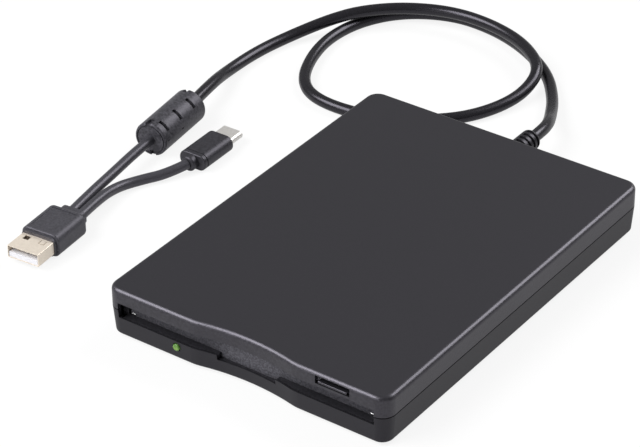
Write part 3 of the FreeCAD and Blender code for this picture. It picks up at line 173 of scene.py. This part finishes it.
class Shader:
    """One procedural material on a Principled surface."""

    def __init__(self, name, colour, roughness, metallic=0.0, specular=0.5):
        self.material = bpy.data.materials.new(name)
        self.material.use_nodes = True
        self.tree = self.material.node_tree
        self.surface = self.tree.nodes["Principled BSDF"]
        self.surface.inputs["Base Color"].default_value = (*colour, 1)
        self.surface.inputs["Roughness"].default_value = roughness
        self.surface.inputs["Metallic"].default_value = metallic
        self.surface.inputs["Specular IOR Level"].default_value = specular
        if metallic == 0.0:
            self.surface.inputs["Specular Tint"].default_value = HIGHLIGHT_TINT
        self.own_frame = self.node("ShaderNodeTexCoord")

    def node(self, kind, **settings):
        """New node, with its inputs and options set by name."""
        made = self.tree.nodes.new(kind)
        for key, value in settings.items():
            if key in made.inputs:
                made.inputs[key].default_value = value
            else:
                setattr(made, key, value)
        return made

    def link(self, output, target):
        self.tree.links.new(output, target)

    def arithmetic(self, operation, *terms):
        """Result of an operation on numbers and other nodes' outputs."""
        made = self.node("ShaderNodeMath", operation=operation)
        for socket, term in zip(made.inputs, terms):
            if isinstance(term, float):
                socket.default_value = term
            else:
                self.link(term, socket)
        return made.outputs["Value"]

    def rescale(self, value, low, high, first, last):
        """Values from low to high, carried over to values from first to last."""
        made = self.node("ShaderNodeMapRange", **{
            "From Min": low, "From Max": high, "To Min": first, "To Max": last})
        self.link(value, made.inputs["Value"])
        return made.outputs["Result"]

    def noise(self, scale, detail=2.0, roughness=0.5):
        """Fine pattern in the piece's own frame, so that it moves with the piece."""
        made = self.node("ShaderNodeTexNoise", Scale=scale, Detail=detail, Roughness=roughness)
        self.link(self.own_frame.outputs["Object"], made.inputs["Vector"])
        return made.outputs["Fac"]

    def on_walls(self, pattern):
        """Keeps a pattern as it is, except on faces that point up, which keep little of it."""
        facing = self.node("ShaderNodeSeparateXYZ")
        self.link(self.own_frame.outputs["Normal"], facing.inputs["Vector"])
        share = self.rescale(facing.outputs["Z"], WALL_TILT, TOP_TILT, 1.0, PATTERN_ON_TOPS)
        swing = self.arithmetic("SUBTRACT", pattern, PATTERN_MIDDLE)
        return self.arithmetic("MULTIPLY_ADD", swing, share, PATTERN_MIDDLE)

    def colour(self, pattern, swing, dark, light):
        """Base colour, from dark to light as the pattern swings about its middle."""
        made = self.node("ShaderNodeValToRGB")
        low, high = made.color_ramp.elements
        low.position = PATTERN_MIDDLE - swing
        low.color = (*dark, 1)
        high.position = PATTERN_MIDDLE + swing
        high.color = (*light, 1)
        self.link(pattern, made.inputs["Fac"])
        self.link(made.outputs["Color"], self.surface.inputs["Base Color"])

    def gloss(self, pattern, smooth, rough):
        """Roughness, from smooth to rough as the pattern swings about its middle."""
        roughness = self.rescale(pattern, PATTERN_MIDDLE - BROAD_SWING,
                                 PATTERN_MIDDLE + BROAD_SWING, smooth, rough)
        self.link(roughness, self.surface.inputs["Roughness"])

    def bump(self, pattern, height):
        """Relief that follows the pattern, with its height in metres."""
        made = self.node("ShaderNodeBump", Distance=height)
        self.link(pattern, made.inputs["Height"])
        self.link(made.outputs["Normal"], self.surface.inputs["Normal"])


def grey(level):
    """Neutral when pale, with a little violet when dark."""
    darkness = 1.0 - level
    return (level, level * (1 - GREEN_LOSS * darkness), level * (1 + BLUE_GAIN * darkness))


def dimmed(colour, share):
    return tuple(part * share for part in colour)


def grained(shader, pattern, level, roughness, relief, swing, spread):
    """Finishes a plastic whose shade, gloss and relief, in millimetres, follow one pattern."""
    shader.colour(pattern, swing, grey(level * (1 - spread)), grey(level * (1 + spread)))
    shader.gloss(pattern, roughness - PLASTIC_UNEVENNESS, roughness + PLASTIC_UNEVENNESS)
    shader.bump(pattern, relief * MM)
    return shader.material


def moulded(name, level, grain, roughness, specular=0.3, relief=0.007, spread=0.25,
            walls_only=False):
    """Fine-grained moulded plastic."""
    shader = Shader(name, grey(level), roughness, specular=specular)
    pattern = shader.noise(grain, detail=3.0, roughness=0.6)
    if walls_only:
        pattern = shader.on_walls(pattern)
    return grained(shader, pattern, level, roughness, relief, NARROW_SWING, spread)


def vinyl(name, level, roughness, grain=2500.0, specular=0.5, relief=0.0045, spread=0.2):
    """Plastic or rubber of the leads and what is on them, and of the feet."""
    shader = Shader(name, grey(level), roughness, specular=specular)
    return grained(shader, shader.noise(grain), level, roughness, relief, BROAD_SWING, spread)


def metal(name, colour, roughness, metallic=1.0):
    """Metal with a faint, fine unevenness."""
    shader = Shader(name, colour, roughness, metallic=metallic)
    pattern = shader.noise(METAL_GRAIN)
    shader.gloss(pattern, roughness - METAL_SMOOTHER, roughness + METAL_ROUGHER)
    shader.colour(pattern, BROAD_SWING, dimmed(colour, METAL_DARK_SHARE), colour)
    return shader.material


def lacquer(name, colour):
    """Circuit board's coloured lacquer."""
    shader = Shader(name, colour, LACQUER_ROUGHNESS)
    pattern = shader.noise(LACQUER_GRAIN)
    shader.colour(pattern, LACQUER_SWING, dimmed(colour, LACQUER_DARK_SHARE), colour)
    return shader.material


def lens(name):
    """Green light's glossy plastic."""
    shader = Shader(name, LENS_COLOUR, LENS_ROUGHNESS)
    shader.colour(shader.noise(LENS_GRAIN), NARROW_SWING, LENS_DARK, LENS_LIGHT)
    shader.surface.inputs["Coat Weight"].default_value = LENS_COAT
    return shader.material


case_plastic = moulded("case_plastic", level=0.0145, grain=1500.0, roughness=0.36,
                       specular=0.8, relief=0.06, spread=0.6, walls_only=True)
bottom_plastic = moulded("bottom_plastic", level=0.012, grain=3000.0, roughness=0.42,
                         specular=0.42)
# Dust door: painted light, its plastic about five times lighter than the case's so that the door,
# in shade in its recess behind the slot, reads as bright as the front wall
door_plastic = moulded("door_plastic", level=0.070, grain=1600.0, roughness=0.5, specular=0.4,
                       relief=0.04, spread=0.5)
# Slot guide: a lighter copy of the inner plastic, painted light for the shelf that lies in shade
# inside the slot
painted_light_guide_plastic = moulded("painted_light_guide_plastic", level=0.018, grain=1500.0, roughness=0.5, relief=0.04,
                        spread=0.5)
inner_plastic = moulded("inner_plastic", level=0.010, grain=2500.0, roughness=0.55)
pale_plastic = moulded("pale_plastic", level=0.72, grain=2000.0, roughness=0.5, spread=0.04)
ferrite_black = moulded("ferrite_black", level=0.03, grain=1800.0, roughness=0.6)
jacket = vinyl("jacket", level=0.009, roughness=0.27, relief=0.00075)
lead_jacket = vinyl("lead_jacket", level=0.046, roughness=0.33, relief=0.00075)
large_plug = vinyl("large_plug", level=0.048, roughness=0.45, grain=1600.0, relief=0.03,
                   spread=0.3)
small_plug = vinyl("small_plug", level=0.024, roughness=0.42, grain=1600.0, relief=0.03,
                   spread=0.4)
ferrite_case = vinyl("ferrite_case", level=0.045, roughness=0.42, grain=1300.0, relief=0.06,
                     spread=0.6)
boot_vinyl = vinyl("boot_vinyl", level=0.012, roughness=0.35, specular=0.4)
foot_rubber = vinyl("foot_rubber", level=0.010, roughness=0.7, specular=0.3)
nickel = metal("nickel", (0.86, 0.77, 0.66), roughness=0.42, metallic=0.45)
grey_nickel = metal("grey_nickel", (0.80, 0.78, 0.75), roughness=0.42, metallic=0.7)
steel = metal("steel", (0.60, 0.60, 0.61), roughness=0.34)
brass = metal("brass", (0.72, 0.52, 0.22), roughness=0.3)
copper = metal("copper", (0.75, 0.36, 0.18), roughness=0.35)
board = lacquer("board", (0.02, 0.16, 0.06))
green_lens = lens("green_lens")

MATERIALS = {
    case_plastic: ("top_cover", "eject_button"),
    bottom_plastic: ("bottom_cover",),
    door_plastic: ("dust_door",),
    painted_light_guide_plastic: ("slot_guide",),
    inner_plastic: ("head_carriage", "head_arm", "board_chips", "disk_switches",
                    "track_zero_sensor", "usb_c_insert"),
    pale_plastic: ("led", "lower_head", "upper_head", "rod_clamps", "screw_bearing",
                   "latch_lever", "board_standoffs", "lead_socket", "flat_cable",
                   "usb_a_tongue"),
    ferrite_black: ("hub_magnet", "ferrite_core"),
    jacket: ("cord_main",),
    lead_jacket: ("cord_plug_lead", "cord_branch"),
    large_plug: ("usb_a_overmould",),
    small_plug: ("usb_c_overmould",),
    ferrite_case: ("ferrite_left_half", "ferrite_right_half"),
    boot_vinyl: ("strain_relief",),
    foot_rubber: ("rubber_feet",),
    nickel: ("usb_a_shell",),
    grey_nickel: ("usb_c_shell",),
    steel: ("case_screws", "door_rivets", "door_spring", "eject_slide", "eject_springs",
            "mechanism_tray", "tray_screws", "mechanism_lid", "disk_cradle", "spindle_rotor",
            "drive_pin", "guide_rod", "lead_screw", "motor_bracket", "stepper_motor",
            "lever_post"),
    brass: ("spindle_bearing", "usb_a_contacts"),
    copper: ("spindle_coils",),
    board: ("spindle_board", "controller_board", "usb_board"),
    green_lens: ("led_lens",),
}
for material, names in MATERIALS.items():
    for name in names:
        for material_slot in NODES[name].material_slots:
            material_slot.material = material


def add_object(name, data):
    made = bpy.data.objects.new(name, data)
    bpy.context.scene.collection.objects.link(made)
    return made


def round_curve(name, radius, roundness, material):
    """Curve of round section with no runs yet."""
    curve = bpy.data.curves.new(name, "CURVE")
    curve.dimensions = "3D"
    curve.bevel_depth = radius
    curve.bevel_resolution = roundness
    curve.use_fill_caps = True
    curve.materials.append(material)
    return curve


def set_points(spline, places):
    spline.points.add(len(places) - 1)
    for point, place in zip(spline.points, places):
        point.co = (*place, 1)


def cord_curve(name, route, diameter, material):
    """Smooth lead with a route's points as its control points."""
    curve = round_curve(name, diameter / 2, CORD_ROUNDNESS, material)
    curve.resolution_u = CORD_STEPS
    spline = curve.splines.new("NURBS")
    set_points(spline, route)
    spline.order_u = 3
    spline.use_endpoint_u = True
    return add_object(name, curve)


def wire(name, paths, radius, material):
    """Bent wires along paths in millimetres."""
    curve = round_curve(name, radius * MM, WIRE_ROUNDNESS, material)
    for path in paths:
        set_points(curve.splines.new("POLY"), [Vector(place) * MM for place in path])
    return add_object(name, curve)


main_cord = cord_curve("main_lead", MAIN_ROUTE, CORD_DIAMETER, jacket)
plug_cord = cord_curve("plug_lead", PLUG_ROUTE, LEAD_DIAMETER, lead_jacket)
branch_cord = cord_curve("branch_lead", BRANCH_ROUTE, LEAD_DIAMETER, lead_jacket)
for piece, node in (
        (main_cord, "cord_main"), (plug_cord, "cord_plug_lead"), (branch_cord, "cord_branch")):
    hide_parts(node)
    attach(piece, "case")


def helix(start, along, across, upward, length, radius, turns):
    """Close spring turns that begin and end on the across side."""
    count = turns * STEPS_PER_TURN
    path = []
    for step in range(count + 1):
        angle = 2 * math.pi * step / STEPS_PER_TURN
        outward = math.cos(angle) * Vector(across) + math.sin(angle) * Vector(upward)
        path.append(Vector(start) + Vector(along) * (length * step / count) + radius * outward)
    return path


def door_spring_wire():
    """Coil on the dust door's pivot, ending in a leg that stands up."""
    coil = helix(DOOR_COIL_START, (1, 0, 0), (0, 1, 0), (0, 0, 1),
                 DOOR_COIL_LENGTH, DOOR_COIL_RADIUS, DOOR_COIL_TURNS)
    return [coil + [coil[-1] + Vector((0, 0, DOOR_LEG_HEIGHT))]]


def eject_spring_wires():
    """Coil near each side wall, ending in a short hook."""
    wires = []
    for side in (-1, 1):
        coil = helix((side * EJECT_COIL_X, EJECT_COIL_Y, EJECT_COIL_Z),
                     (0, 1, 0), (side, 0, 0), (0, 0, 1),
                     EJECT_COIL_LENGTH, EJECT_COIL_RADIUS, EJECT_COIL_TURNS)
        wires.append(coil + [Vector((side * EJECT_HOOK_X, EJECT_HOOK_Y, EJECT_COIL_Z))])
    return wires


def motor_winding(turned, height):
    """Flat winding, out through its lower layer and back in through its upper one."""
    pitch = 2 * WINDING_WIRE_RADIUS
    path = []
    for layer in (-1, 1):
        for step in range(WINDING_TURNS * STEPS_PER_TURN + 1):
            angle = 2 * math.pi * step / STEPS_PER_TURN
            grown = step / STEPS_PER_TURN if layer < 0 else WINDING_TURNS - step / STEPS_PER_TURN
            cosine = math.cos(angle)
            sine = math.sin(angle)
            square = (cosine ** 4 + sine ** 4) ** -0.25
            x = (WINDING_INNER_ACROSS + pitch * grown) * cosine * square
            y = WINDING_DISTANCE + (WINDING_INNER_OUTWARD + pitch * grown) * sine * square
            path.append((x * math.cos(turned) - y * math.sin(turned),
                         x * math.sin(turned) + y * math.cos(turned) + SPINDLE_Y,
                         height + layer * WINDING_WIRE_RADIUS))
    return path


def motor_windings():
    """Ring of windings at the middle height of the solids that they replace."""
    low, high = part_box("spindle_coils")
    height = (low[2] + high[2]) / 2 / MM
    return [motor_winding(2 * math.pi * i / WINDING_COUNT, height) for i in range(WINDING_COUNT)]


for name, paths, radius, material, node, slot in (
        ("wound_door_spring", door_spring_wire(), SPRING_WIRE_RADIUS, steel,
         "door_spring", "bright_steel"),
        ("wound_eject_springs", eject_spring_wires(), SPRING_WIRE_RADIUS, steel,
         "eject_springs", "bright_steel"),
        ("motor_windings", motor_windings(), WINDING_WIRE_RADIUS, copper,
         "spindle_coils", "copper")):
    wound = wire(name, paths, radius, material)
    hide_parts(node)
    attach(wound, "case")


def camera():
    """Camera that looks along the photograph's line of sight, turned by its small roll."""
    data = bpy.data.cameras.new("camera")
    data.sensor_width = SENSOR_WIDTH
    data.lens = FOCAL_PIXELS * SENSOR_WIDTH / IMAGE_WIDTH
    data.clip_start = NEAREST_SEEN
    data.clip_end = FARTHEST_SEEN
    data.dof.use_dof = False
    made = add_object("camera", data)
    back = Vector((math.sin(CAMERA_AZIMUTH) * math.cos(CAMERA_ELEVATION),
                   -math.cos(CAMERA_AZIMUTH) * math.cos(CAMERA_ELEVATION),
                   math.sin(CAMERA_ELEVATION)))
    right = (-back).cross(Vector((0, 0, 1))).normalized()
    up = right.cross(-back)
    rolled_right = math.cos(CAMERA_ROLL) * right + math.sin(CAMERA_ROLL) * up
    rolled_up = -math.sin(CAMERA_ROLL) * right + math.cos(CAMERA_ROLL) * up
    turn = Matrix((rolled_right, rolled_up, back)).transposed().to_4x4()
    made.matrix_world = Matrix.Translation(CAMERA_PLACE) @ turn
    bpy.context.scene.camera = made


def world():
    """Even white surroundings."""
    surroundings = bpy.data.worlds.new("studio")
    surroundings.use_nodes = True
    background = surroundings.node_tree.nodes["Background"]
    background.inputs["Color"].default_value = (1, 1, 1, 1)
    background.inputs["Strength"].default_value = WORLD_STRENGTH
    bpy.context.scene.world = surroundings


def floor():
    """White table that keeps the object's shadow."""
    mesh = bpy.data.meshes.new("floor")
    mesh.from_pydata(
        [(-FLOOR_REACH, -FLOOR_REACH, 0), (FLOOR_REACH, -FLOOR_REACH, 0),
         (FLOOR_REACH, FLOOR_REACH, 0), (-FLOOR_REACH, FLOOR_REACH, 0)], [], [(0, 1, 2, 3)])
    table = add_object("floor", mesh)
    paint = Shader("floor_paint", FLOOR_PAINT, roughness=0.9, specular=0.1)
    rays = paint.node("ShaderNodeLightPath")
    in_view = rays.outputs["Is Camera Ray"]
    seen = in_view
    for other in ("Is Glossy Ray", "Is Transmission Ray"):
        seen = paint.arithmetic("MAXIMUM", seen, rays.outputs[other])
    share = paint.arithmetic("MULTIPLY", seen, FLOOR_GLOW)
    strength = paint.arithmetic("MULTIPLY_ADD", in_view, 1.0 - FLOOR_IN_MIRRORS, FLOOR_IN_MIRRORS)
    glow = paint.node("ShaderNodeEmission")
    paint.link(strength, glow.inputs["Strength"])
    mix = paint.node("ShaderNodeMixShader")
    paint.link(share, mix.inputs["Fac"])
    paint.link(paint.surface.outputs["BSDF"], mix.inputs[1])
    paint.link(glow.outputs["Emission"], mix.inputs[2])
    paint.link(mix.outputs["Shader"], paint.tree.nodes["Material Output"].inputs["Surface"])
    mesh.materials.append(paint.material)


def lamp(name, place, size, power):
    """Rectangular lamp aimed at the origin."""
    data = bpy.data.lights.new(name, "AREA")
    data.shape = "RECTANGLE"
    data.size, data.size_y = size
    data.energy = power
    made = add_object(name, data)
    aim = (-Vector(place)).normalized().to_track_quat("-Z", "Y")
    made.matrix_world = Matrix.Translation(place) @ aim.to_matrix().to_4x4()


camera()
world()
floor()
for name, place, size, power in LAMPS:
    lamp(name, place, size, power)
bpy.context.scene.view_settings.view_transform = "Standard"
